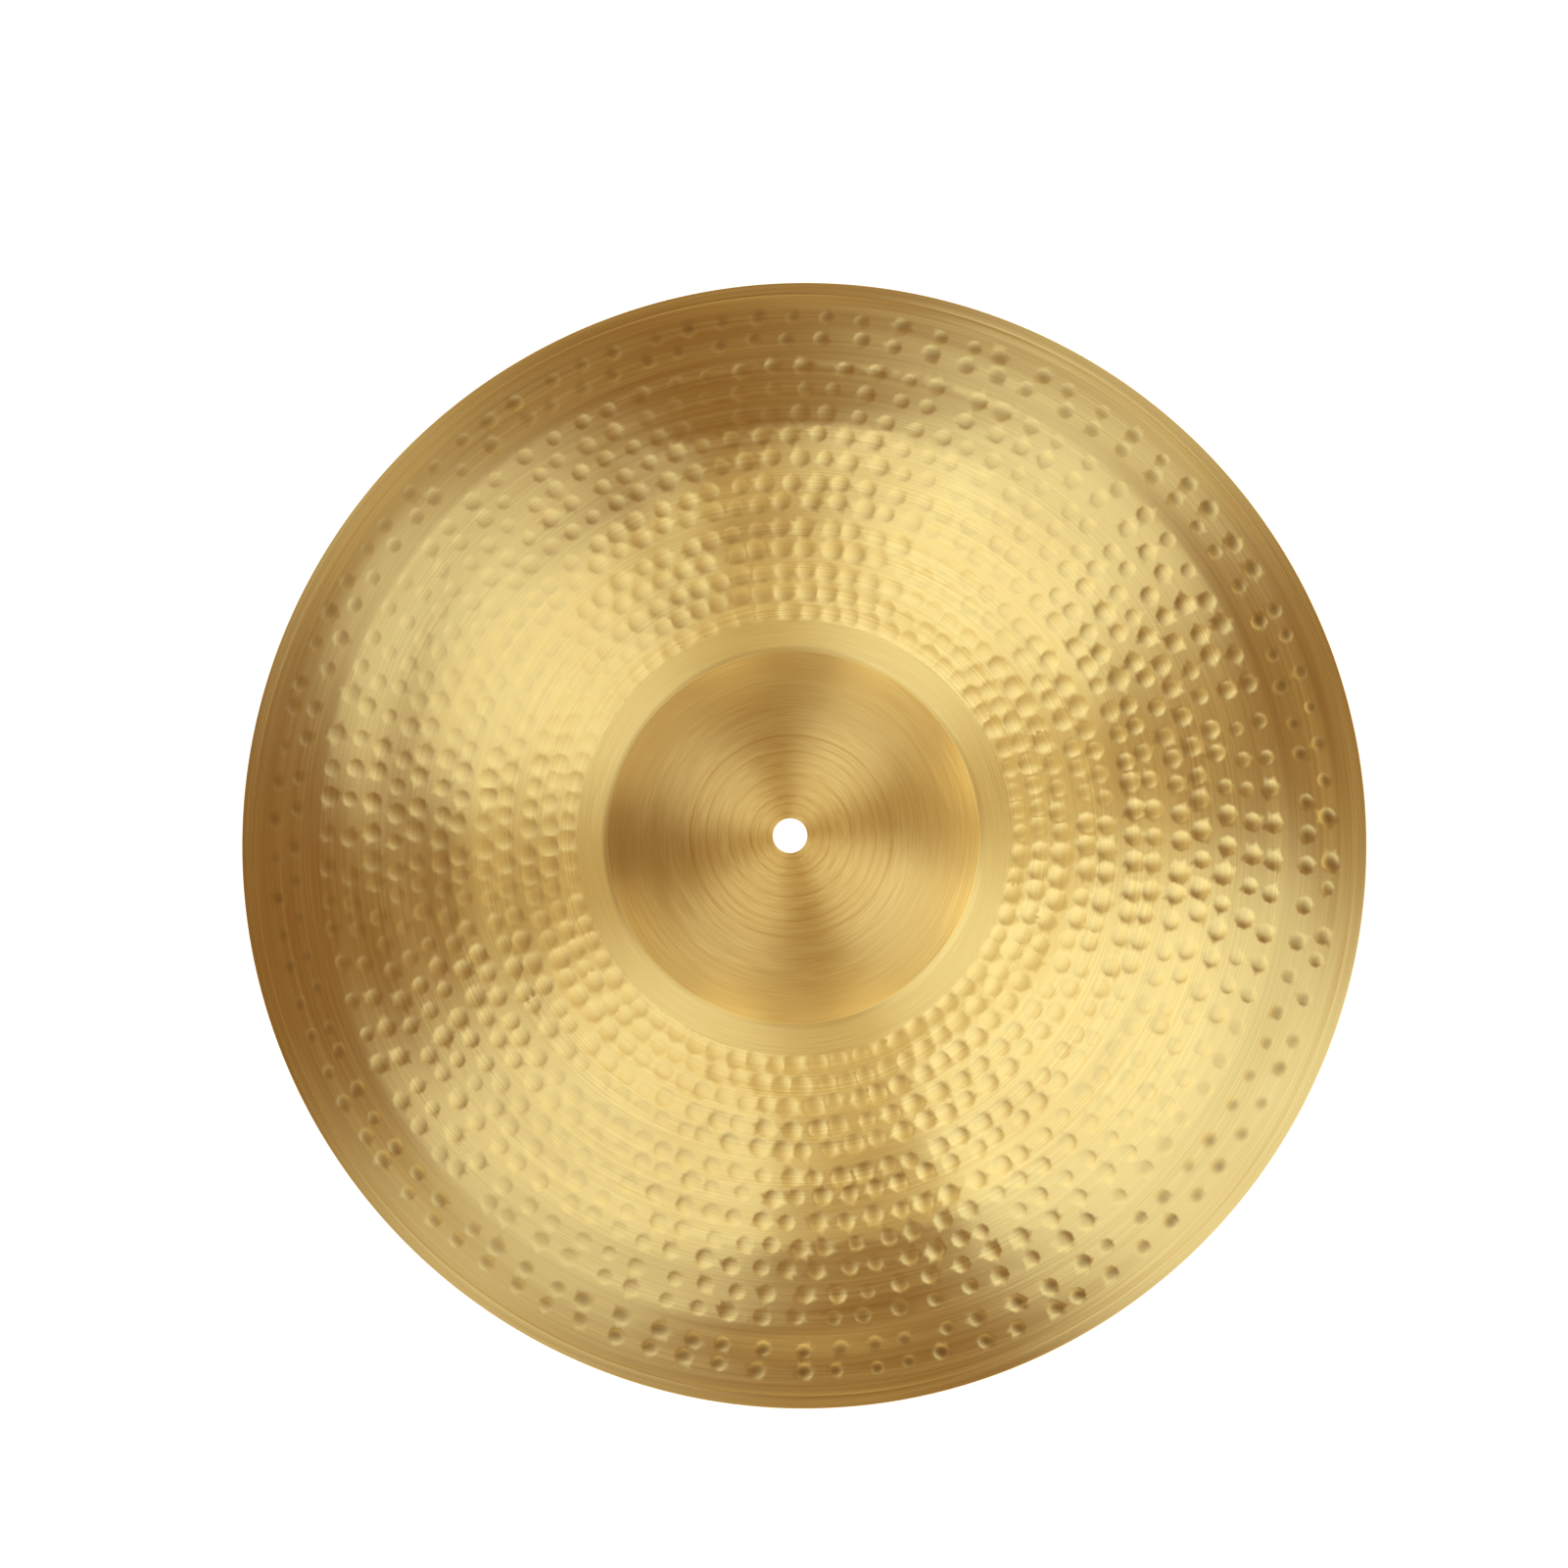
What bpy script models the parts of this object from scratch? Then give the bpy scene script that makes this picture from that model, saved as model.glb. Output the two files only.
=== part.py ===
"""Crash cymbal, 16 inch: a single disc of cymbal brass, spun, hammered and lathed.

The part lies rim down. Z = 0 is the plane that its rim rests on, and +Z is the axis of the cymbal,
pointing out of the top of the bell. All lengths are in metres.

From the middle outwards, the top face is a flat seat around the stand hole, a rounded shoulder, the
dome of the bell, a tight hollow at the foot of the bell, the long shallow bow, a gentle bend, and a
band that falls a little more steeply to the rim. Each stretch is a circular arc that leaves its
neighbour without a kink, so a radius and a slope at each joint between stretches describe the whole
face. The sheet is thickest at the bell and thins towards the rim.
"""

import math

import bpy

# Driving dimensions.
DIAMETER = 0.4064                # a 16 inch cymbal
HOLE_DIAMETER = 0.0118           # clears the rod of a cymbal stand in its sleeve
SEAT_DIAMETER = 0.0208           # flat land around the hole, where the felt washers bear
SHOULDER_WIDTH = 0.0029          # rounded step from the seat to the dome of the bell
BELL_DIAMETER = 0.1294
FOOT_WIDTH = 0.0025              # tight hollow between the bell and the bow
BEND_DIAMETER = 0.3420           # where the bow starts to fall more steeply
BEND_WIDTH = 0.0030
THICKNESS_AT_BELL = 0.00115
THICKNESS_AT_RIM = 0.00085
RIM_CHAMFER = 0.00022            # small broken edge, above and below the rim

# Downward slope of the top face, in degrees, at each joint between two arcs.
SLOPE_AT_SEAT = 0.0
SLOPE_AT_SHOULDER = 5.5
SLOPE_AT_BELL = 29.0
SLOPE_AT_BOW = 5.5
SLOPE_AT_BEND = 11.5
SLOPE_AT_BAND = 14.5
SLOPE_AT_RIM = 15.5

# How finely the arcs and the turning are cut.
SHOULDER_CUTS = 2
BELL_CUTS = 7
FOOT_CUTS = 3
BOW_CUTS = 6
BEND_CUTS = 2
BAND_CUTS = 2
TURNING_STEPS = 96

# Lathed cymbal brass.
BRASS_COLOUR = (0.73, 0.52, 0.23, 1.0)
BRASS_ROUGHNESS = 0.32

HOLE_RADIUS = HOLE_DIAMETER / 2
RIM_RADIUS = DIAMETER / 2
SEAT_RADIUS = SEAT_DIAMETER / 2
SHOULDER_RADIUS = SEAT_RADIUS + SHOULDER_WIDTH
BELL_RADIUS = BELL_DIAMETER / 2
BOW_RADIUS = BELL_RADIUS + FOOT_WIDTH
BEND_RADIUS = BEND_DIAMETER / 2
BAND_RADIUS = BEND_RADIUS + BEND_WIDTH


def remove_everything():
    """Empty the scene that Blender starts with."""
    for scene_object in list(bpy.data.objects):
        bpy.data.objects.remove(scene_object, do_unlink=True)


def arc_points(start, slope_start, radius_end, slope_end, cuts):
    """Points of a circular arc from start, a (radius, height), out to radius_end, without its start.

    The slopes are downward and in degrees. Along a circular arc the sine of the slope changes evenly
    with radius, and a chord's slope is the mean of the slopes at its ends.
    """
    radius_start, height = start
    sine_start = math.sin(math.radians(slope_start))
    sine_end = math.sin(math.radians(slope_end))
    points = []
    radius, slope = radius_start, math.radians(slope_start)
    for cut in range(1, cuts + 1):
        share = cut / cuts
        next_radius = radius_start + share * (radius_end - radius_start)
        next_slope = math.asin(sine_start + share * (sine_end - sine_start))
        height -= (next_radius - radius) * math.tan((slope + next_slope) / 2)
        radius, slope = next_radius, next_slope
        points.append((radius, height, slope))
    return points


def top_face():
    """The top face from the hole to the rim, as (radius, height, slope), with the seat at height 0."""
    points = [(HOLE_RADIUS, 0.0, 0.0), (SEAT_RADIUS, 0.0, 0.0)]
    arcs = (
        (SLOPE_AT_SEAT, SHOULDER_RADIUS, SLOPE_AT_SHOULDER, SHOULDER_CUTS),
        (SLOPE_AT_SHOULDER, BELL_RADIUS, SLOPE_AT_BELL, BELL_CUTS),
        (SLOPE_AT_BELL, BOW_RADIUS, SLOPE_AT_BOW, FOOT_CUTS),
        (SLOPE_AT_BOW, BEND_RADIUS, SLOPE_AT_BEND, BOW_CUTS),
        (SLOPE_AT_BEND, BAND_RADIUS, SLOPE_AT_BAND, BEND_CUTS),
        (SLOPE_AT_BAND, RIM_RADIUS - RIM_CHAMFER, SLOPE_AT_RIM, BAND_CUTS),
    )
    for slope_start, radius_end, slope_end, cuts in arcs:
        start = points[-1][:2]
        points += arc_points(start, slope_start, radius_end, slope_end, cuts)
    return points


def thickness_at(radius):
    """Sheet thickness: even over the bell, then thinning in proportion out to the rim."""
    share = (radius - BELL_RADIUS) / (RIM_RADIUS - BELL_RADIUS)
    share = min(1.0, max(0.0, share))
    return THICKNESS_AT_BELL + share * (THICKNESS_AT_RIM - THICKNESS_AT_BELL)


def section_outline():
    """The sheet's cross-section on the +X side, as (radius, height): out over the top, back below."""
    top = top_face()
    above = [(radius, height) for radius, height, _ in top]
    below = []
    for radius, height, slope in top:
        thickness = thickness_at(radius)
        below.append((radius - thickness * math.sin(slope), height - thickness * math.cos(slope)))

    rim_top = above[-1][1]
    rim_bottom = rim_top - THICKNESS_AT_RIM
    rim = [
        (RIM_RADIUS, rim_top - RIM_CHAMFER),
        (RIM_RADIUS, rim_bottom + RIM_CHAMFER),
        (RIM_RADIUS - RIM_CHAMFER, rim_bottom),
    ]
    outline = above + rim + below[-2::-1]
    return [(radius, height - rim_bottom) for radius, height in outline]


def brass_material():
    """Plain lathed brass."""
    material = bpy.data.materials.new("cymbal_brass")
    material.use_nodes = True
    shader = material.node_tree.nodes["Principled BSDF"]
    shader.inputs["Base Color"].default_value = BRASS_COLOUR
    shader.inputs["Metallic"].default_value = 1.0
    shader.inputs["Roughness"].default_value = BRASS_ROUGHNESS
    return material


def turned_object(name, outline, collection):
    """Turn a closed outline about the Z axis with a Screw modifier, and keep the resulting mesh."""
    vertices = [(radius, 0.0, height) for radius, height in outline]
    edges = [(index, (index + 1) % len(vertices)) for index in range(len(vertices))]
    profile = bpy.data.meshes.new(name + "_profile")
    profile.from_pydata(vertices, edges, [])
    turned = bpy.data.objects.new(name, profile)
    collection.objects.link(turned)

    screw = turned.modifiers.new("turning", "SCREW")
    screw.axis = "Z"
    screw.angle = 2 * math.pi
    screw.steps = TURNING_STEPS
    screw.render_steps = TURNING_STEPS
    screw.use_merge_vertices = True
    screw.merge_threshold = 0.00001

    evaluated = turned.evaluated_get(bpy.context.evaluated_depsgraph_get())
    mesh = bpy.data.meshes.new_from_object(evaluated)
    turned.modifiers.clear()
    turned.data = mesh
    bpy.data.meshes.remove(profile)
    mesh.name = name
    mesh.shade_smooth()
    mesh.set_sharp_from_angle(angle=math.radians(25))
    return turned


def make_cymbal():
    """Build the cymbal in a collection of its own."""
    collection = bpy.data.collections.new("crash_cymbal")
    bpy.context.scene.collection.children.link(collection)
    cymbal = turned_object("cymbal", section_outline(), collection)
    cymbal.data.materials.append(brass_material())
    return cymbal


remove_everything()
make_cymbal()
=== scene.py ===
"""Looks of the 16 inch crash cymbal: a hammered and lathed sheet of brass, lying rim down.

The CAD model's plain disc is replaced by one closed mesh of the same section. Its hammer marks, the
waves and bulges that the hammering leaves, the wider lathe grooves and the rounded edges are real
geometry. The fine lathe lines, too small for a mesh, are in the material. All lengths are in metres,
azimuths run from +X towards +Y, and +Z points out of the top of the bell.
"""

import math
import random

import bpy
import numpy as np
from mathutils import Matrix, Vector
from mathutils.geometry import delaunay_2d_cdt
from mathutils.kdtree import KDTree


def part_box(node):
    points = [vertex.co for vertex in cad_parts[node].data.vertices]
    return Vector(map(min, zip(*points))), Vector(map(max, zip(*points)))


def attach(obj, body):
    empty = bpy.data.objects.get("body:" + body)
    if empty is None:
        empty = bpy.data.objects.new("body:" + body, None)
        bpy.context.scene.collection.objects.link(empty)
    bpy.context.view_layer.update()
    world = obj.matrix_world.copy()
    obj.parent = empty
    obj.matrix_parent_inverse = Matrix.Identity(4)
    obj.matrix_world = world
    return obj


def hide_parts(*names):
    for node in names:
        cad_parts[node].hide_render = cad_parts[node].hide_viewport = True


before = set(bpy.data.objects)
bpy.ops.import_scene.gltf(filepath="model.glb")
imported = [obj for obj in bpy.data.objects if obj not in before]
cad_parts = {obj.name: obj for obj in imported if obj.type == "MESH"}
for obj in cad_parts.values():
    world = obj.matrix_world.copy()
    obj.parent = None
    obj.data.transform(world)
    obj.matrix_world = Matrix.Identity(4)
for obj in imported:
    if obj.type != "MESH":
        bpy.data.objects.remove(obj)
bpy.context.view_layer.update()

# The section of the sheet, as the CAD model has it.
LOWEST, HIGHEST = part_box("cymbal")
RIM_RADIUS = HIGHEST.x
SEAT_HEIGHT = HIGHEST.z
HOLE_RADIUS = 0.0059
SEAT_RADIUS = 0.0104
SHOULDER_RADIUS = 0.0133
BELL_RADIUS = 0.0647
BOW_RADIUS = BELL_RADIUS + 0.0025
BEND_RADIUS = 0.1710
BAND_RADIUS = BEND_RADIUS + 0.0030
THICKNESS_AT_BELL = 0.00115
THICKNESS_AT_RIM = 0.00085
RIM_ROUND = 0.00022
HOLE_ROUND = 0.00015
RIM_EDGE = RIM_RADIUS - RIM_ROUND        # the two faces end here, where the rounded edges start
HOLE_EDGE = HOLE_RADIUS + HOLE_ROUND
SECTION_STEP = 0.0002
# (radius, downward slope of the top face in degrees) where one arc of the section meets the next.
SECTION_JOINTS = (
    (HOLE_RADIUS, 0.0),
    (SEAT_RADIUS, 0.0),
    (SHOULDER_RADIUS, 5.5),
    (BELL_RADIUS, 29.0),
    (BOW_RADIUS, 5.5),
    (BEND_RADIUS, 11.5),
    (BAND_RADIUS, 14.5),
    (RIM_EDGE, 15.5),
)

# Rows of hammer marks from the rim inwards: (radius of the row, number of marks in it).
HAMMER_ROWS = (
    (0.1892, 90),
    (0.1813, 88),
    (0.1694, 87),
    (0.1610, 87),
    (0.1519, 92),
    (0.1435, 88),
    (0.1352, 88),
    (0.1260, 84),
    (0.1192, 83),
    (0.1093, 80),
    (0.1023, 73),
    (0.0936, 75),
    (0.0863, 72),
    (0.0793, 68),
)
FOOT_BAND_RADIUS = 0.0760                # the smooth band around the bell ends here
HAMMERED_RADIUS = HAMMER_ROWS[0][0] + 0.0045
OUTER_MARK_RADIUS = 0.0028
INNER_MARK_RADIUS = 0.0033
OUTER_MARK_DEPTH = 0.00013
INNER_MARK_DEPTH = 0.00012
UNEVENNESS = 0.38                        # how much lighter the blows are on one side than on average
LIGHTEST_SIDE = math.radians(145)
CUP_EDGE = 0.92                          # share of a mark's radius where its edge starts to round
CUP_REACH = 1.0 / CUP_EDGE               # share of its radius where the edge ends
UNDERSIDE_SHARE = 0.35                   # how much of each mark shows as a bump below
SEED = 16

# How unevenly the marks fall: along the row in steps between marks, and across it in metres. The
# ranges are shares of the usual weight of a blow, and of the mark's usual radius and depth.
STEP_SCATTER = 0.09
ROW_SCATTER = 0.00035
ROW_WANDER = 0.0003
WEIGHT_RANGE = (0.7, 1.15)
SIZE_RANGE = (0.95, 1.05)
DEPTH_RANGE = (0.8, 1.1)

# Long shallow waves that the hammering left in the bow.
WAVE_COUNT = 14
WAVE_LOBES = (1, 2, 3, 4, 5, 6, 7)
WAVE_LENGTHS = (0.022, 0.07)
WAVE_STEEPNESS = 0.0013                  # height of a wave as a share of its length
WAVE_FADE = 0.02

# Broad bulges that it left as well: (azimuth of the middle and half the spread, both in degrees,
# radius of the crest, height of the crest).
BULGES = (
    (84, 24, 0.1480, 0.0012),
    (280, 20, 0.1430, 0.0011),
)
BULGE_FADE = 16.0                        # degrees over which a bulge fades out at either side

# Lathe grooves big enough to model: (radius, width, depth).
GROOVES = (
    (0.0078, 0.00030, 0.000040),
    (0.0110, 0.00030, 0.000040),
    (SHOULDER_RADIUS + 0.0003, 0.00040, 0.000050),
    (0.0172, 0.00040, 0.000020),
    (0.0210, 0.00045, 0.000036),
    (0.0252, 0.00045, 0.000024),
    (0.0292, 0.00045, 0.000036),
    (0.0318, 0.00045, 0.000020),
    (0.0347, 0.00050, 0.000050),
    (BELL_RADIUS, 0.00050, 0.000015),
    (RIM_RADIUS - 0.0046, 0.00050, 0.000040),
)
DEEPEST_GROOVE = max(depth for _, _, depth in GROOVES)

# Mesh detail. A mark's rings are (share of its radius, number of points). A face's spacings are those
# of the circles on the bell, of the circles near the rim, and of the points between the marks.
BELL_STEPS = 180
RIM_STEPS = 480
ROUND_CUTS = 3
UPPER_MARK_RINGS = ((0.0, 1), (0.45, 6), (0.92, 18), (1.07, 18), (1.4, 8))
LOWER_MARK_RINGS = ((0.0, 1), (0.85, 6))
UPPER_SPACINGS = (0.0012, 0.0013, 0.0021)
LOWER_SPACINGS = (0.0024, 0.0024, 0.0034)
GROOVE_RINGS = (-1.6, -0.7, 0.0, 0.7, 1.6)
SMALLEST_GAP = 0.00042
SEAM = 0.0003                            # strip kept free of marks beside the circles that bound them
CIRCLE_GAP_SHARE = 0.45                  # smallest gap to a circle's points, as a share of its spacing
FILL_GAP_SHARE = 0.8
CELL_SIZE = 0.003                        # of the grid that finds near points, wider than any gap
TO_MILLIMETRES = 1000.0                  # the triangulator works in millimetres
MERGE_DISTANCE = 1e-7                    # in those millimetres
RADIUS_TOLERANCE = 1e-7
NORMAL_STEP = 0.00004                    # distance either side of a point at which its slope is measured

# Lathed brass: its paler and darker shades, and how much each kind of mark moves it between them.
BRASS_PALE = (0.96, 0.76, 0.32, 1.0)
BRASS_DARK = (0.77, 0.54, 0.20, 1.0)
HAIR_SHADE = 0.24
LINE_SHADE = 0.06
BAND_SHADE = 0.05
CLOUD_SHADE = 0.10
HAMMER_SHADE = -0.05
GROOVE_SHADE = -0.5
# The outer rows of hammer marks keep some of the dark skin that the lathe took off around them.
BRASS_SKIN = (0.36, 0.23, 0.08, 1.0)
SKIN_SHARE = 0.55
SKIN_START = 0.160
SKIN_FULL = 0.183
# Lathe lines, from the finest up: their pitch, how often they change around the axis, and the fineness
# of their noise.
HAIR_LINES = (0.0006, 3.0, 1.0)
MIDDLE_LINES = (0.0016, 2.0, 2.0)
BAND_LINES = (0.007, 1.0, 2.0)
GROUP_START = 0.42                       # the finest lines come in groups, where the bands' noise is high
GROUP_FULL = 0.62
LONE_LINES = 0.4                         # how strong they are outside the groups
NOISE_LOW = 0.3                          # most of the noise lies between these two
NOISE_HIGH = 0.7
CLOUD_SIZE = 0.05
CLOUD_DETAIL = 2.0
LINE_ROUGHNESS = 0.010
BAND_ROUGHNESS = 0.012
HAIR_RELIEF = 0.16
LINE_RELIEF = 0.5
BAND_RELIEF = 1.5
RELIEF_HEIGHT = 0.000004
QUARTER_TURN = 0.25                      # turns the brushing to run along the lathe's circles
# Finishes as (name, roughness, anisotropy, paleness). The bell and its foot are lathed more deeply
# than the bow, so they spread the light further across their lines. Their paleness is painted shade and
# light: the bell is painted darker than the bow and the smooth band round its foot paler, for how the
# light falls on them.
BOW_FINISH = ("lathed_bow", 0.22, 0.6, 0.52)
BELL_FINISH_AND_PAINTED_SHADE = ("lathed_bell_painted_shade", 0.30, 0.90, -0.05)
FOOT_FINISH_AND_PAINTED_LIGHT = ("lathed_foot_painted_light", 0.30, 0.90, 0.75)

FLOOR_SIZE = 8.0
FLOOR_GAP = 0.0005
FLOOR_COLOUR = (0.2, 0.2, 0.2, 1.0)
FLOOR_GLOW = 0.97
FLOOR_ROUGHNESS = 0.9
FLOOR_SHINE = 0.1
WHITE = (1.0, 1.0, 1.0, 1.0)

# The camera looks down on the cymbal, leaning a little, from near enough to see it in perspective.
CAMERA_DISTANCE = 0.720
CAMERA_LEAN = (0.05405, -0.04811)
CAMERA_AIM = Vector((-0.00430, 0.01961, 0.0))
FIELD_OF_VIEW = math.radians(43.03)

# Soft round lamps in the world around the cymbal, each (azimuth, angle from overhead, half its width,
# brightness), with the angles in degrees. The low lamps are evenly spaced from +X.
OVERHEAD_LAMP = (0, 0, 25, 0.53)
UPPER_LAMPS = (
    (62, 30, 14, 0.91),
    (147, 31, 12, 0.87),
    (232, 31, 14, 0.81),
    (325, 34, 18, 0.92),
)
LOW_LAMP_ANGLE = 87
LOW_LAMP_HALF_WIDTH = 35
LOW_LAMP_BRIGHTNESS = (0.95, 0.80, 0.45, 0.52, 0.15, 0.65, 0.80, 0.80)
# Degrees over which a lamp's edge fades.
OVERHEAD_SOFTNESS = 20
UPPER_SOFTNESS = 11
LOW_SOFTNESS = 10
UPPER_COLOUR = (0.81, 1.0, 1.15)
WARM_COLOUR = (0.99, 1.0, 0.74)
ROOM_COLOUR = (0.200, 0.085, 0.015)


def smooth(share):
    """Ease a share between 0 and 1 at both ends."""
    return share * share * (3 - 2 * share)


def arc_section():
    """Radius, height and slope along the top face, finely cut, from the arcs in SECTION_JOINTS."""
    radii = [HOLE_RADIUS]
    slopes = [0.0]
    for (start, slope_start), (end, slope_end) in zip(SECTION_JOINTS, SECTION_JOINTS[1:]):
        cuts = max(2, round((end - start) / SECTION_STEP))
        sine_start = math.sin(math.radians(slope_start))
        sine_end = math.sin(math.radians(slope_end))
        for cut in range(1, cuts + 1):
            share = cut / cuts
            radii.append(start + share * (end - start))
            slopes.append(math.asin(sine_start + share * (sine_end - sine_start)))
    radii = np.array(radii)
    slopes = np.array(slopes)
    drops = np.diff(radii) * np.tan((slopes[1:] + slopes[:-1]) / 2)
    heights = SEAT_HEIGHT - np.concatenate([[0.0], np.cumsum(drops)])
    return radii, heights, slopes


SECTION_RADII, SECTION_HEIGHTS, SECTION_SLOPES = arc_section()


def thickness_at(radius):
    """Sheet thickness: even over the bell, then thinning in proportion out to the rim."""
    share = np.clip((radius - BELL_RADIUS) / (RIM_RADIUS - BELL_RADIUS), 0.0, 1.0)
    return THICKNESS_AT_BELL + share * (THICKNESS_AT_RIM - THICKNESS_AT_BELL)


def plain_top(radius):
    """Height of the top face without marks or grooves."""
    return np.interp(radius, SECTION_RADII, SECTION_HEIGHTS)


def plain_under(radius):
    """Height of the underside without bumps: the top face set back by the thickness."""
    thickness = thickness_at(SECTION_RADII)
    radii = SECTION_RADII - thickness * np.sin(SECTION_SLOPES)
    heights = SECTION_HEIGHTS - thickness * np.cos(SECTION_SLOPES)
    return np.interp(radius, radii, heights)


def make_hammer_marks():
    """Every hammer mark as (x, y, radius, depth), unevenly placed along its row as a hammer falls."""
    pick = random.Random(SEED)
    marks = []
    outer, inner = HAMMER_ROWS[0][0], HAMMER_ROWS[-1][0]
    for row_radius, count in HAMMER_ROWS:
        inwards = (outer - row_radius) / (outer - inner)
        usual_size = OUTER_MARK_RADIUS + inwards * (INNER_MARK_RADIUS - OUTER_MARK_RADIUS)
        usual_depth = OUTER_MARK_DEPTH + inwards * (INNER_MARK_DEPTH - OUTER_MARK_DEPTH)
        start = pick.uniform(0.0, math.tau)
        wander = pick.uniform(0.0, math.tau)
        for index in range(count):
            angle = start + (index + pick.gauss(0.0, STEP_SCATTER)) * math.tau / count
            wandering = ROW_WANDER * math.sin(2 * angle + wander)
            radius = row_radius + wandering + pick.gauss(0.0, ROW_SCATTER)
            weight = pick.uniform(*WEIGHT_RANGE)
            size = usual_size * math.sqrt(weight) * pick.uniform(*SIZE_RANGE)
            lightness = UNEVENNESS * math.cos(angle - LIGHTEST_SIDE)
            depth = usual_depth * weight * pick.uniform(*DEPTH_RANGE) * (1.0 - lightness)
            marks.append((radius * math.cos(angle), radius * math.sin(angle), size, depth))
    return marks


def cup(share):
    """Depth of a hammer mark, as a share of its deepest, at a share of its radius.

    The mark is a parabola out to CUP_EDGE, where its slope starts to fade evenly to nothing.
    """
    if share < CUP_EDGE:
        return 1.0 - share * share
    if share > CUP_REACH:
        return 0.0
    return CUP_EDGE / (CUP_REACH - CUP_EDGE) * (CUP_REACH - share) ** 2


class Hammering:
    """All the hammer marks, with a tree that finds those near a point."""

    def __init__(self):
        self.marks = make_hammer_marks()
        self.reach = CUP_REACH * max(size for _, _, size, _ in self.marks)
        self.tree = KDTree(len(self.marks))
        for index, (x, y, _, _) in enumerate(self.marks):
            self.tree.insert((x, y, 0.0), index)
        self.tree.balance()

    def relief(self, points):
        """Height of the hammered surface at each (x, y), where the deepest of the marks near it wins."""
        relief = np.zeros(len(points))
        for number, (x, y) in enumerate(points):
            deepest = 0.0
            for _, index, distance in self.tree.find_range((x, y, 0.0), self.reach):
                _, _, size, depth = self.marks[index]
                deepest = max(deepest, depth * cup(distance / size))
            relief[number] = -deepest
        return relief


def waves(points):
    """Height of the long shallow waves in the bow, fading out at the bell and the rim."""
    pick = random.Random(SEED + 1)
    radius = np.hypot(points[:, 0], points[:, 1])
    angle = np.arctan2(points[:, 1], points[:, 0])
    height = np.zeros(len(points))
    for _ in range(WAVE_COUNT):
        lobes = pick.choice(WAVE_LOBES)
        length = pick.uniform(*WAVE_LENGTHS)
        across = np.sin(math.tau * radius / length + pick.uniform(0.0, math.tau))
        around = np.cos(lobes * angle + pick.uniform(0.0, math.tau))
        height += WAVE_STEEPNESS * length * across * around
    from_bell = np.clip((radius - BOW_RADIUS) / WAVE_FADE, 0.0, 1.0)
    from_rim = np.clip((RIM_RADIUS - radius) / WAVE_FADE, 0.0, 1.0)
    return height * smooth(from_bell * from_rim)


def bulges(points):
    """Height of the broad bulges: a ramp up from the bell to a crest, then a steeper one down again."""
    radius = np.hypot(points[:, 0], points[:, 1])
    angle = np.degrees(np.arctan2(points[:, 1], points[:, 0]))
    height = np.zeros(len(points))
    for azimuth, half_spread, crest_radius, crest_height in BULGES:
        turn = np.abs(np.mod(angle - azimuth + 180.0, 360.0) - 180.0)
        share = np.clip((half_spread + BULGE_FADE / 2 - turn) / BULGE_FADE, 0.0, 1.0)
        ramps = np.interp(radius, (BOW_RADIUS, crest_radius, BEND_RADIUS), (0.0, crest_height, 0.0))
        height += ramps * smooth(share)
    return height


def lathe_grooves(radius):
    """How far the lathe grooves lower the top face."""
    relief = np.zeros(len(radius))
    for centre, width, depth in GROOVES:
        relief -= depth * np.exp(-((radius - centre) / width) ** 2)
    return relief


def top_height(points, hammering):
    """Height of the top face at each (x, y)."""
    radius = np.hypot(points[:, 0], points[:, 1])
    height = plain_top(radius) + hammering.relief(points) + lathe_grooves(radius)
    return height + waves(points) + bulges(points)


def under_height(points, hammering):
    """Height of the underside at each (x, y)."""
    radius = np.hypot(points[:, 0], points[:, 1])
    height = plain_under(radius) + UNDERSIDE_SHARE * hammering.relief(points)
    return height + waves(points) + bulges(points)


def face_normals(points, height_at, hammering):
    """Upward normals of a face at the points, or zeros at its two edges, which are rounded."""
    along_x = np.array((NORMAL_STEP, 0.0))
    along_y = np.array((0.0, NORMAL_STEP))
    rise_x = height_at(points + along_x, hammering) - height_at(points - along_x, hammering)
    rise_y = height_at(points + along_y, hammering) - height_at(points - along_y, hammering)
    run = np.full(len(points), 2 * NORMAL_STEP)
    normals = np.column_stack([-rise_x, -rise_y, run])
    normals /= np.linalg.norm(normals, axis=1)[:, None]
    radius = np.hypot(points[:, 0], points[:, 1])
    normals[(radius > RIM_EDGE - NORMAL_STEP) | (radius < HOLE_EDGE + NORMAL_STEP)] = 0.0
    return normals


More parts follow.
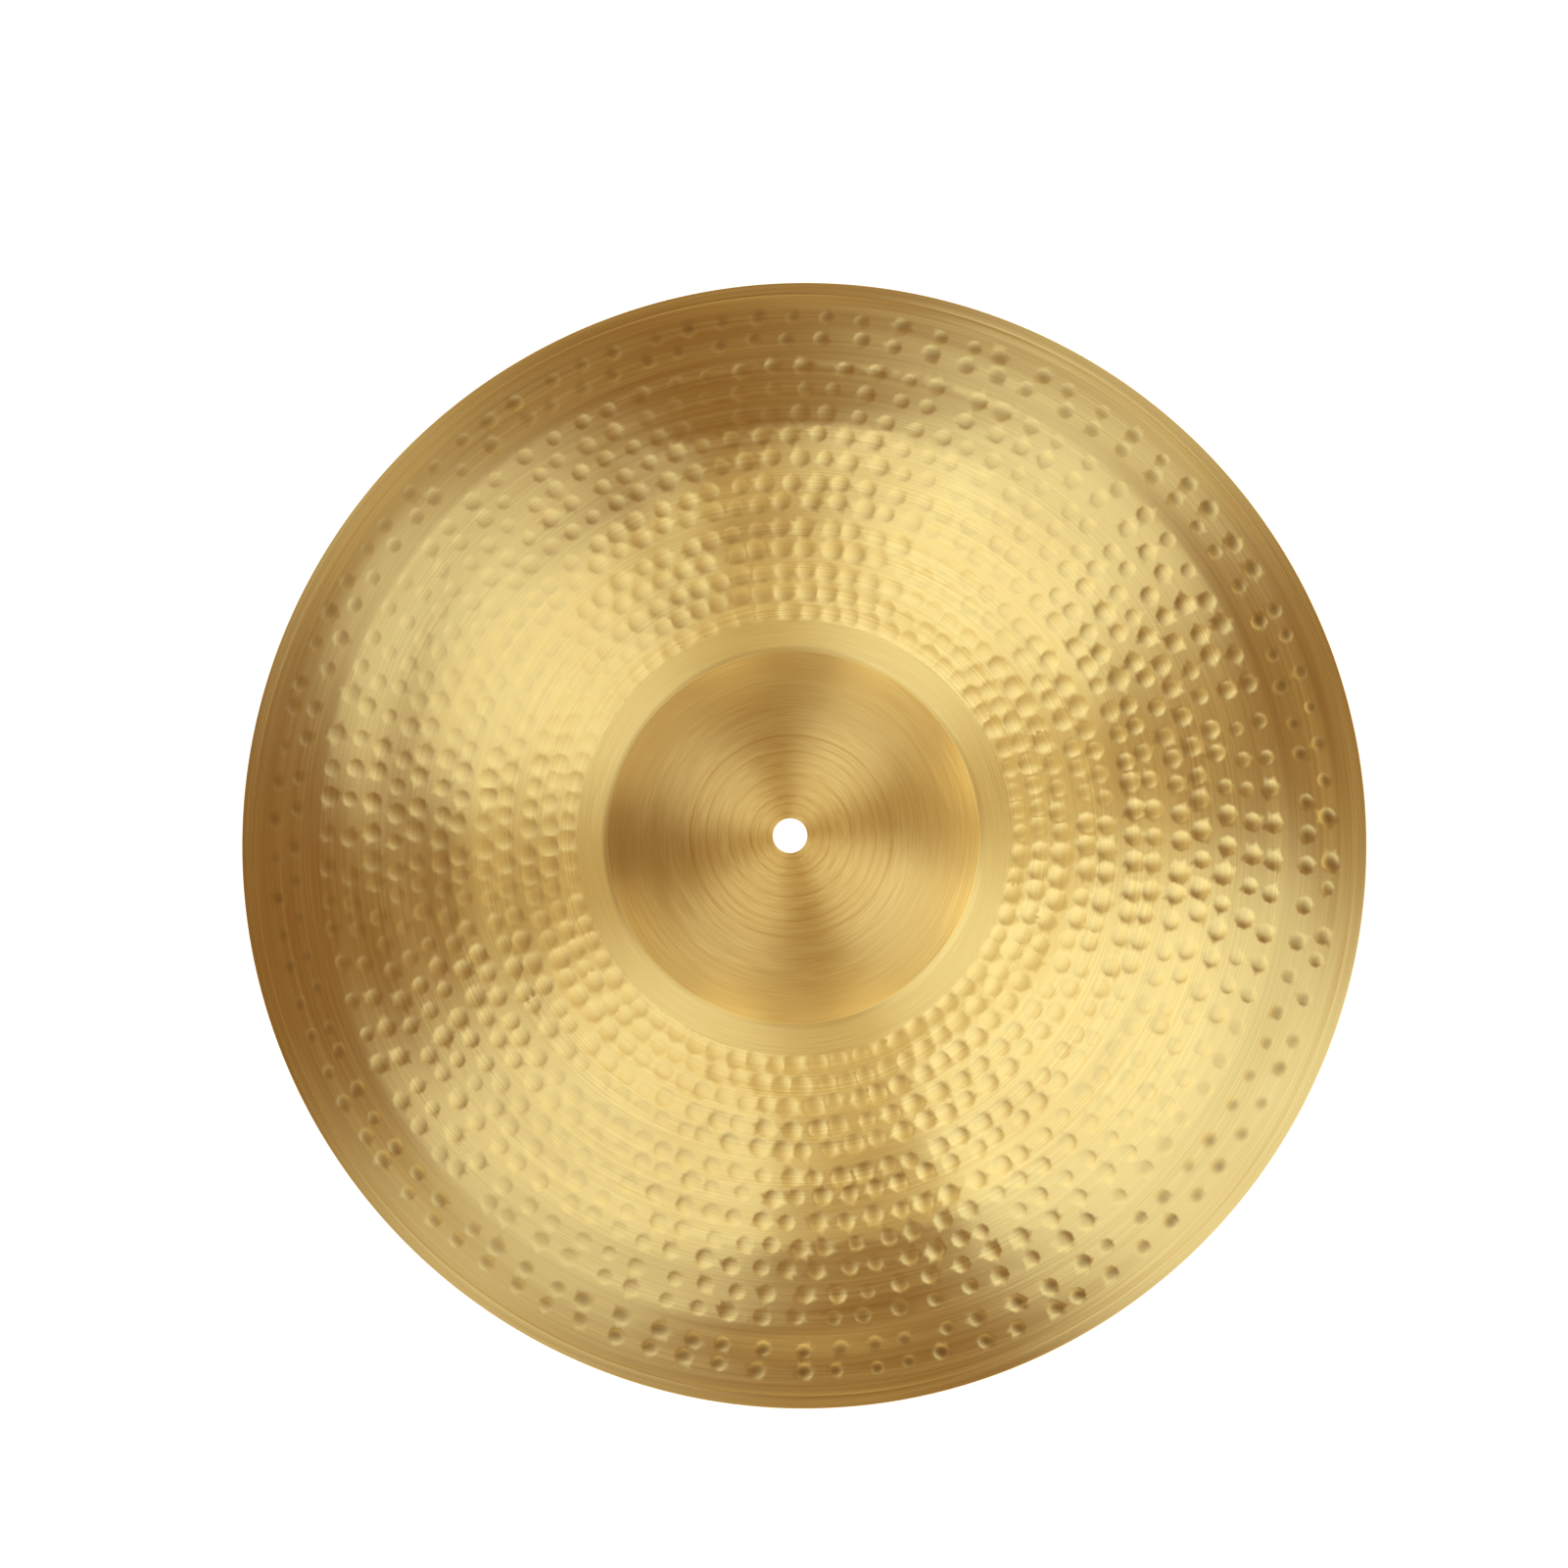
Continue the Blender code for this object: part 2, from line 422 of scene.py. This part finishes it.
class PointField:
    """Points in the plane that keep a smallest distance from each other."""

    def __init__(self):
        self.points = []
        self.cells = {}

    def is_free(self, x, y, gap):
        """True when no point is nearer than gap, which is at most the cell size."""
        column, row = math.floor(x / CELL_SIZE), math.floor(y / CELL_SIZE)
        for near_column in (column - 1, column, column + 1):
            for near_row in (row - 1, row, row + 1):
                for near_x, near_y in self.cells.get((near_column, near_row), ()):
                    if (near_x - x) ** 2 + (near_y - y) ** 2 < gap * gap:
                        return False
        return True

    def add(self, x, y, gap):
        """Add a point if it has room."""
        if self.is_free(x, y, gap):
            self.points.append((x, y))
            cell = (math.floor(x / CELL_SIZE), math.floor(y / CELL_SIZE))
            self.cells.setdefault(cell, []).append((x, y))

    def add_circle(self, radius, steps, gap=SMALLEST_GAP / 4):
        """Add a circle of points about the axis."""
        for step in range(steps):
            angle = math.tau * step / steps
            self.add(radius * math.cos(angle), radius * math.sin(angle), gap)

    def add_mark(self, mark, rings):
        """Add the rings of points that shape one hammer mark, kept off the bell and the band."""
        x, y, size, _ = mark
        for share, count in rings:
            gap = SMALLEST_GAP if share <= 1.0 else 2 * SMALLEST_GAP
            for step in range(count):
                angle = math.tau * step / count
                ring_x = x + share * size * math.cos(angle)
                ring_y = y + share * size * math.sin(angle)
                if FOOT_BAND_RADIUS + SEAM < math.hypot(ring_x, ring_y) < HAMMERED_RADIUS - 2 * SEAM:
                    self.add(ring_x, ring_y, gap)

    def fill(self, inner, outer, spacing):
        """Fill the room left between two radii with evenly spaced points."""
        radius = inner
        while radius < outer:
            steps = round(math.tau * radius / spacing)
            for step in range(steps):
                angle = math.tau * (step + 0.5 * (round(radius / spacing) % 2)) / steps
                self.add(radius * math.cos(angle), radius * math.sin(angle), FILL_GAP_SHARE * spacing)
            radius += spacing


def spread(start, end, spacing):
    """Evenly spaced radii from start to end, both included."""
    cuts = max(1, round((end - start) / spacing))
    return [start + (end - start) * cut / cuts for cut in range(cuts + 1)]


def groove_circles():
    """Radii of the circles of points that shape the grooves."""
    return [centre + share * width for centre, width, _ in GROOVES for share in GROOVE_RINGS]


def face_points(marks, rings, circles, spacings):
    """Points of one face of the sheet, from the edge of the hole to the edge of the rim."""
    bell_spacing, band_spacing, fill_spacing = spacings
    field = PointField()
    field.add_circle(HOLE_EDGE, BELL_STEPS)
    field.add_circle(RIM_EDGE, RIM_STEPS)
    for radius in circles:
        field.add_circle(radius, BELL_STEPS if radius < BOW_RADIUS else RIM_STEPS)
    for radius in spread(HOLE_EDGE, FOOT_BAND_RADIUS, bell_spacing)[1:]:
        field.add_circle(radius, BELL_STEPS, CIRCLE_GAP_SHARE * bell_spacing)
    for radius in spread(HAMMERED_RADIUS, RIM_EDGE, band_spacing)[:-1]:
        field.add_circle(radius, RIM_STEPS, CIRCLE_GAP_SHARE * band_spacing)
    for mark in marks:
        field.add_mark(mark, rings)
    field.fill(FOOT_BAND_RADIUS + 2 * SEAM, HAMMERED_RADIUS - 2 * SEAM, fill_spacing)
    return np.array(field.points)


def triangulate(points):
    """Delaunay triangles over the points, without those that bridge the stand hole."""
    flat = [Vector((x * TO_MILLIMETRES, y * TO_MILLIMETRES)) for x, y in points]
    vertices, _, faces, _, _, _ = delaunay_2d_cdt(flat, [], [], 0, MERGE_DISTANCE)
    points = np.array([(vertex.x, vertex.y) for vertex in vertices]) / TO_MILLIMETRES
    faces = np.array(faces)
    on_hole = np.hypot(points[:, 0], points[:, 1]) < HOLE_EDGE + RADIUS_TOLERANCE
    bridging = on_hole[faces].all(axis=1)
    return points, faces[~bridging]


def circle_order(points, radius):
    """Indices of the points on the circle of that radius, in order around the axis."""
    distances = np.hypot(points[:, 0], points[:, 1])
    on_circle = np.nonzero(np.abs(distances - radius) < RADIUS_TOLERANCE)[0]
    angles = np.arctan2(points[on_circle, 1], points[on_circle, 0])
    half_step = math.pi / len(on_circle)
    return on_circle[np.argsort(np.mod(angles + half_step, math.tau))]


class Sheet:
    """Collects the vertices and faces of the closed sheet."""

    def __init__(self):
        self.vertices = []
        self.faces = []
        self.count = 0

    def add_vertices(self, coordinates):
        """Append vertices and return their indices."""
        first = self.count
        self.vertices.append(coordinates)
        self.count += len(coordinates)
        return np.arange(first, self.count)

    def add_circle(self, radius, height, steps):
        """Append a circle of vertices and return their indices."""
        angles = np.arange(steps) * math.tau / steps
        heights = np.full(steps, height)
        return self.add_vertices(np.column_stack([radius * np.cos(angles), radius * np.sin(angles), heights]))

    def add_bridge(self, upper, lower, outward):
        """Join two circles of as many vertices with quads that face outwards (1) or inwards (-1)."""
        for quad in zip(upper, lower, np.roll(lower, -1), np.roll(upper, -1)):
            self.faces.append(quad[::outward])

    def add_edge(self, upper, lower, radius, size, outward):
        """Join the two faces' circles at a radius with an edge rounded by size."""
        circle = upper
        for edge_radius, height in rounded_edge(radius, size, outward):
            following = self.add_circle(edge_radius, height, len(upper))
            self.add_bridge(circle, following, outward)
            circle = following
        self.add_bridge(circle, lower, outward)

    def make_mesh(self, name):
        """The sheet as a smooth mesh."""
        mesh = bpy.data.meshes.new(name)
        mesh.from_pydata(np.concatenate(self.vertices).tolist(), [], self.faces)
        mesh.shade_smooth()
        return mesh


def rounded_edge(radius, size, outward):
    """(radius, height) of the circles that round the sheet's edge, from the top face to the underside."""
    top = float(plain_top(radius))
    bottom = float(plain_under(radius))
    circles = []
    for cut in range(1, ROUND_CUTS + 1):
        angle = math.pi / 2 * cut / ROUND_CUTS
        circles.append((radius + outward * size * math.sin(angle), top - size + size * math.cos(angle)))
    for cut in range(ROUND_CUTS - 1, 0, -1):
        angle = math.pi / 2 * cut / ROUND_CUTS
        circles.append((radius + outward * size * math.sin(angle), bottom + size - size * math.cos(angle)))
    return circles


def store_values(mesh, name, values):
    """Store a value for each vertex of the top face, and 0 for the others, for the material to read."""
    padded = np.zeros(len(mesh.vertices), np.float32)
    padded[:len(values)] = values
    attribute = mesh.attributes.new(name, "FLOAT", "POINT")
    attribute.data.foreach_set("value", padded)


def set_finishes_and_painted_shades(mesh):
    """Give the bow, the bell and the smooth band around its foot each its own finish, with painted shade on
    the bell and painted light on the band.
    """
    for finish in (BOW_FINISH, BELL_FINISH_AND_PAINTED_SHADE, FOOT_FINISH_AND_PAINTED_LIGHT):
        mesh.materials.append(brass_material(*finish))
    centres = np.empty(3 * len(mesh.polygons))
    mesh.polygons.foreach_get("center", centres)
    radius = np.hypot(centres[0::3], centres[1::3])
    slots = np.where(radius < BELL_RADIUS, 1, np.where(radius < FOOT_BAND_RADIUS, 2, 0))
    mesh.polygons.foreach_set("material_index", slots.astype(np.int32))


def make_cymbal():
    """Build the cymbal as one closed mesh: its top face, its underside and its two rounded edges."""
    hammering = Hammering()
    top_points, top_faces = triangulate(face_points(
        hammering.marks, UPPER_MARK_RINGS, groove_circles(), UPPER_SPACINGS))
    under_points, under_faces = triangulate(face_points(
        hammering.marks, LOWER_MARK_RINGS, (), LOWER_SPACINGS))

    sheet = Sheet()
    top = sheet.add_vertices(np.column_stack([top_points, top_height(top_points, hammering)]))
    under = sheet.add_vertices(np.column_stack([under_points, under_height(under_points, hammering)]))
    sheet.faces += top[top_faces].tolist()
    sheet.faces += under[under_faces[:, ::-1]].tolist()
    for radius, size, outward in ((RIM_EDGE, RIM_ROUND, 1), (HOLE_EDGE, HOLE_ROUND, -1)):
        top_circle = top[circle_order(top_points, radius)]
        under_circle = under[circle_order(under_points, radius)]
        sheet.add_edge(top_circle, under_circle, radius, size, outward)
    mesh = sheet.make_mesh("cymbal_sheet")

    normals = np.zeros((len(mesh.vertices), 3))
    normals[top] = face_normals(top_points, top_height, hammering)
    normals[under] = -face_normals(under_points, under_height, hammering)
    mesh.normals_split_custom_set_from_vertices(normals.tolist())
    top_radius = np.hypot(top_points[:, 0], top_points[:, 1])
    store_values(mesh, "hammering", -hammering.relief(top_points) / OUTER_MARK_DEPTH)
    store_values(mesh, "grooving", -lathe_grooves(top_radius) / DEEPEST_GROOVE)
    set_finishes_and_painted_shades(mesh)
    cymbal = bpy.data.objects.new("cymbal_sheet", mesh)
    bpy.context.scene.collection.objects.link(cymbal)
    return cymbal


def feed(tree, socket, value):
    """Give a socket its value: the output of another node, a number or a colour."""
    if isinstance(value, bpy.types.NodeSocket):
        tree.links.new(value, socket)
    else:
        socket.default_value = value


def add_node(tree, kind, **settings):
    """Add a shader node with the given settings."""
    node = tree.nodes.new(kind)
    for name, value in settings.items():
        setattr(node, name, value)
    return node


def add_math(tree, operation, *values):
    """Add a Math node and return its output."""
    node = add_node(tree, "ShaderNodeMath", operation=operation)
    for socket, value in zip(node.inputs, values):
        feed(tree, socket, value)
    return node.outputs["Value"]


def add_vector_math(tree, operation, *values):
    """Add a Vector Math node and return it."""
    node = add_node(tree, "ShaderNodeVectorMath", operation=operation)
    for socket, value in zip(node.inputs, values):
        feed(tree, socket, value)
    return node


def add_range(tree, value, from_low, from_high, to_low, to_high):
    """Map a value from one range to another, smoothly and without leaving the second."""
    node = add_node(tree, "ShaderNodeMapRange", interpolation_type="SMOOTHSTEP")
    feed(tree, node.inputs["Value"], value)
    for name, number in zip(("From Min", "From Max", "To Min", "To Max"),
                            (from_low, from_high, to_low, to_high)):
        feed(tree, node.inputs[name], number)
    return node.outputs["Result"]


def add_swing(tree, noise):
    """Stretch the middle of a noise's range to run from -1 to 1."""
    return add_range(tree, noise, NOISE_LOW, NOISE_HIGH, -1.0, 1.0)


def add_mix(tree, share, first, second):
    """Mix two colours, going past them where the share is below 0 or above 1."""
    node = add_node(tree, "ShaderNodeMix", data_type="RGBA", clamp_factor=False)
    feed(tree, node.inputs["Factor"], share)
    feed(tree, node.inputs["A"], first)
    feed(tree, node.inputs["B"], second)
    return node.outputs["Result"]


def add_weighted(tree, start, *terms):
    """Add each (value, weight) of the terms to a starting number, and return the sum."""
    total = start
    for value, weight in terms:
        total = add_math(tree, "MULTIPLY_ADD", value, weight, total)
    return total


class LatheField:
    """Coordinates for a turned surface, and noise drawn out along the lathe's circles."""

    def __init__(self, tree):
        self.tree = tree
        self.place = add_node(tree, "ShaderNodeTexCoord").outputs["Object"]
        flat = add_vector_math(tree, "MULTIPLY", self.place, (1.0, 1.0, 0.0)).outputs["Vector"]
        self.radius = add_vector_math(tree, "LENGTH", flat).outputs["Value"]
        self.towards = add_vector_math(tree, "NORMALIZE", flat).outputs["Vector"]

    def lines(self, pitch, waver, detail):
        """Circular lines of the given pitch, in metres, that change waver times or so per radian."""
        depth = add_node(self.tree, "ShaderNodeCombineXYZ")
        feed(self.tree, depth.inputs["Z"], add_math(self.tree, "DIVIDE", self.radius, pitch))
        place = add_vector_math(
            self.tree, "MULTIPLY_ADD", self.towards, (waver, waver, 0.0), depth.outputs["Vector"])
        return self.noise(place.outputs["Vector"], 1.0, detail)

    def patches(self, size, detail):
        """Blotches about as wide as size, in metres."""
        return self.noise(self.place, 1.0 / size, detail)

    def noise(self, vector, scale, detail):
        """Noise about 0.5 at the given vector."""
        node = add_node(self.tree, "ShaderNodeTexNoise")
        feed(self.tree, node.inputs["Vector"], vector)
        feed(self.tree, node.inputs["Scale"], scale)
        feed(self.tree, node.inputs["Detail"], detail)
        return node.outputs["Fac"]


def brass_material(name, roughness, anisotropy, paleness):
    """Lathed cymbal brass: fine circular lines that break up along their length, brushed all round."""
    material = bpy.data.materials.new(name)
    material.use_nodes = True
    tree = material.node_tree
    shader = tree.nodes["Principled BSDF"]
    shader.inputs["Metallic"].default_value = 1.0
    shader.inputs["Anisotropic"].default_value = anisotropy
    shader.inputs["Anisotropic Rotation"].default_value = QUARTER_TURN
    tangent = add_node(tree, "ShaderNodeTangent", direction_type="RADIAL", axis="Z")
    feed(tree, shader.inputs["Tangent"], tangent.outputs["Tangent"])

    field = LatheField(tree)
    line_noise = field.lines(*MIDDLE_LINES)
    band_noise = field.lines(*BAND_LINES)
    grouping = add_range(tree, band_noise, GROUP_START, GROUP_FULL, LONE_LINES, 1.0)
    hair = add_math(tree, "MULTIPLY", add_swing(tree, field.lines(*HAIR_LINES)), grouping)
    line = add_swing(tree, line_noise)
    band = add_swing(tree, band_noise)
    cloud = add_swing(tree, field.patches(CLOUD_SIZE, CLOUD_DETAIL))
    hammering = add_node(tree, "ShaderNodeAttribute", attribute_name="hammering").outputs["Fac"]
    grooving = add_node(tree, "ShaderNodeAttribute", attribute_name="grooving").outputs["Fac"]

    # The paleness that starts the share is painted shade on the bell and painted light on its foot band.
    share = add_weighted(
        tree, paleness, (hair, HAIR_SHADE), (line, LINE_SHADE), (band, BAND_SHADE),
        (cloud, CLOUD_SHADE), (hammering, HAMMER_SHADE), (grooving, GROOVE_SHADE))
    clean = add_mix(tree, share, BRASS_DARK, BRASS_PALE)
    skin_share = add_range(tree, field.radius, SKIN_START, SKIN_FULL, 0.0, SKIN_SHARE)
    skin = add_math(tree, "MULTIPLY", hammering, skin_share)
    feed(tree, shader.inputs["Base Color"], add_mix(tree, skin, clean, BRASS_SKIN))

    rough = add_weighted(tree, roughness, (line, LINE_ROUGHNESS), (band, BAND_ROUGHNESS))
    feed(tree, shader.inputs["Roughness"], rough)

    bump = add_node(tree, "ShaderNodeBump")
    bump.inputs["Strength"].default_value = 1.0
    bump.inputs["Distance"].default_value = RELIEF_HEIGHT
    relief = add_weighted(
        tree, 0.0, (hair, HAIR_RELIEF), (line_noise, LINE_RELIEF), (band_noise, BAND_RELIEF))
    feed(tree, bump.inputs["Height"], relief)
    feed(tree, shader.inputs["Normal"], bump.outputs["Normal"])
    return material


def floor_material():
    """White paper lit from behind: its own colour is dark, so that the lamps don't tint it."""
    material = bpy.data.materials.new("floor_paper")
    material.use_nodes = True
    shader = material.node_tree.nodes["Principled BSDF"]
    shader.inputs["Base Color"].default_value = FLOOR_COLOUR
    shader.inputs["Roughness"].default_value = FLOOR_ROUGHNESS
    shader.inputs["Specular IOR Level"].default_value = FLOOR_SHINE
    shader.inputs["Emission Color"].default_value = WHITE
    shader.inputs["Emission Strength"].default_value = FLOOR_GLOW
    return material


def make_floor():
    """A plain pale floor under the cymbal."""
    bpy.ops.mesh.primitive_plane_add(size=FLOOR_SIZE, location=(0.0, 0.0, LOWEST.z - FLOOR_GAP))
    floor = bpy.context.object
    floor.name = "floor"
    floor.data.materials.append(floor_material())


def make_camera():
    """The camera above the cymbal."""
    direction = Vector((CAMERA_LEAN[0], CAMERA_LEAN[1], 1.0)).normalized()
    data = bpy.data.cameras.new("camera")
    data.angle = FIELD_OF_VIEW
    camera = bpy.data.objects.new("camera", data)
    bpy.context.scene.collection.objects.link(camera)
    camera.location = CAMERA_AIM + CAMERA_DISTANCE * direction
    right = Vector((0.0, 1.0, 0.0)).cross(direction).normalized()
    up = direction.cross(right)
    rotation = np.array([right, up, direction]).T
    camera.rotation_euler = Matrix(rotation.tolist()).to_euler()
    bpy.context.scene.camera = camera


def add_lamp(tree, towards, lamp, softness, colour, total):
    """Add a soft round lamp to the world's light so far, and return the new total."""
    azimuth, from_overhead, half_width = (math.radians(angle) for angle in lamp[:3])
    brightness = lamp[3]
    blur = math.radians(softness) / 2
    aim = (
        math.sin(from_overhead) * math.cos(azimuth),
        math.sin(from_overhead) * math.sin(azimuth),
        math.cos(from_overhead),
    )
    cosine = add_vector_math(tree, "DOT_PRODUCT", towards, aim).outputs["Value"]
    glow = add_range(tree, cosine, math.cos(half_width + blur), math.cos(half_width - blur), 0.0, brightness)
    return add_vector_math(tree, "MULTIPLY_ADD", glow, colour, total).outputs["Vector"]


def low_lamps():
    """The lamps around the horizon."""
    turn = 360 / len(LOW_LAMP_BRIGHTNESS)
    return [(index * turn, LOW_LAMP_ANGLE, LOW_LAMP_HALF_WIDTH, brightness)
            for index, brightness in enumerate(LOW_LAMP_BRIGHTNESS)]


def make_lights():
    """A world of soft lamps above and low around the cymbal, which the camera sees as plain white."""
    world = bpy.data.worlds.new("studio")
    bpy.context.scene.world = world
    world.use_nodes = True
    tree = world.node_tree
    towards = add_node(tree, "ShaderNodeTexCoord").outputs["Generated"]
    total = add_lamp(tree, towards, OVERHEAD_LAMP, OVERHEAD_SOFTNESS, WARM_COLOUR, ROOM_COLOUR)
    for lamp in UPPER_LAMPS:
        total = add_lamp(tree, towards, lamp, UPPER_SOFTNESS, UPPER_COLOUR, total)
    for lamp in low_lamps():
        total = add_lamp(tree, towards, lamp, LOW_SOFTNESS, WARM_COLOUR, total)
    seen = add_node(tree, "ShaderNodeLightPath").outputs["Is Camera Ray"]
    feed(tree, tree.nodes["Background"].inputs["Color"], add_mix(tree, seen, total, WHITE))


cymbal = make_cymbal()
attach(cymbal, "root")
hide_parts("cymbal")
make_floor()
make_camera()
make_lights()
bpy.context.scene.view_settings.view_transform = "Standard"
